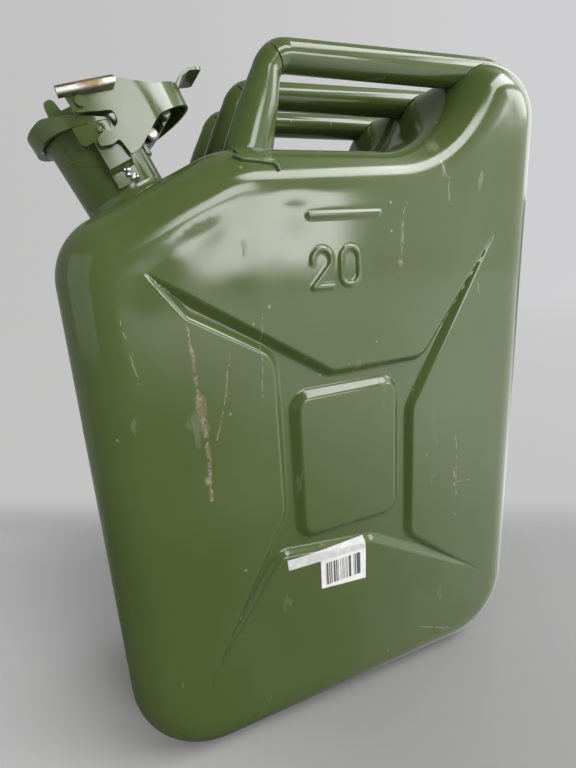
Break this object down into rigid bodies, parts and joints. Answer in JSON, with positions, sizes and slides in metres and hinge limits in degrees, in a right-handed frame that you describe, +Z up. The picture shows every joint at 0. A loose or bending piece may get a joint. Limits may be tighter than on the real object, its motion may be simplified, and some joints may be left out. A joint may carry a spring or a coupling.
{
  "type": "jerry can",
  "caption": "Pressed-steel fuel jerry can with pressed faces, tubular carrying handles and a cam-lever lid on an offset spout.",
  "frame": {"origin": "middle of the base, on the surface the can stands on", "axes": "+X along the can's width away from the spout, +Y into its depth (front face at -Y), +Z up"},
  "size_m": [0.347, 0.1664, 0.479],
  "materials": {
    "green_paint": "glossy olive green paint over pressed steel",
    "bare_steel": "bare zinc-coated steel, slightly worn",
    "black_rubber": "matte black sealing rubber"
  },
  "bodies": {
    "can": {"front_shell": "green_paint", "rear_shell": "green_paint", "handle_front": "green_paint", "handle_middle": "green_paint", "handle_rear": "green_paint", "neck": "green_paint", "vent_tube": "bare_steel", "cam_ring": "green_paint", "strap_front": "green_paint", "strap_rear": "green_paint", "hinge_bracket": "green_paint", "link_pin": "bare_steel"},
    "link": {"link": "green_paint"},
    "lever": {"lever": "green_paint", "lever_pin": "bare_steel", "edge_strip_front": "bare_steel", "edge_strip_rear": "bare_steel", "cross_pin": "green_paint"},
    "lid": {"lid": "green_paint", "lid_bracket": "green_paint", "lid_guide": "green_paint", "lid_rivet_left": "bare_steel", "lid_rivet_right": "bare_steel", "gasket": "black_rubber"}
  },
  "joints": [
    {"name": "link_pivot", "type": "hinge", "parent": "can", "child": "link", "pos_m": [-0.09906, 0, 0.43829], "axis": [0, 1, 0], "range_deg": [-36, 0]},
    {"name": "lever_pivot", "type": "hinge", "parent": "link", "child": "lever", "pos_m": [-0.09112, 0, 0.44729], "axis": [0, 1, 0], "range_deg": [0, 90]},
    {"name": "lid_pivot", "type": "hinge", "parent": "lever", "child": "lid", "pos_m": [-0.14235, 0, 0.44546], "axis": [0, 1, 0], "range_deg": [0, 10]}
  ],
  "couplings": [
    {"joint": "link_pivot", "follows": "lever_pivot", "ratio": -0.375},
    {"joint": "lid_pivot", "follows": "lever_pivot", "ratio": 0.1}
  ]
}
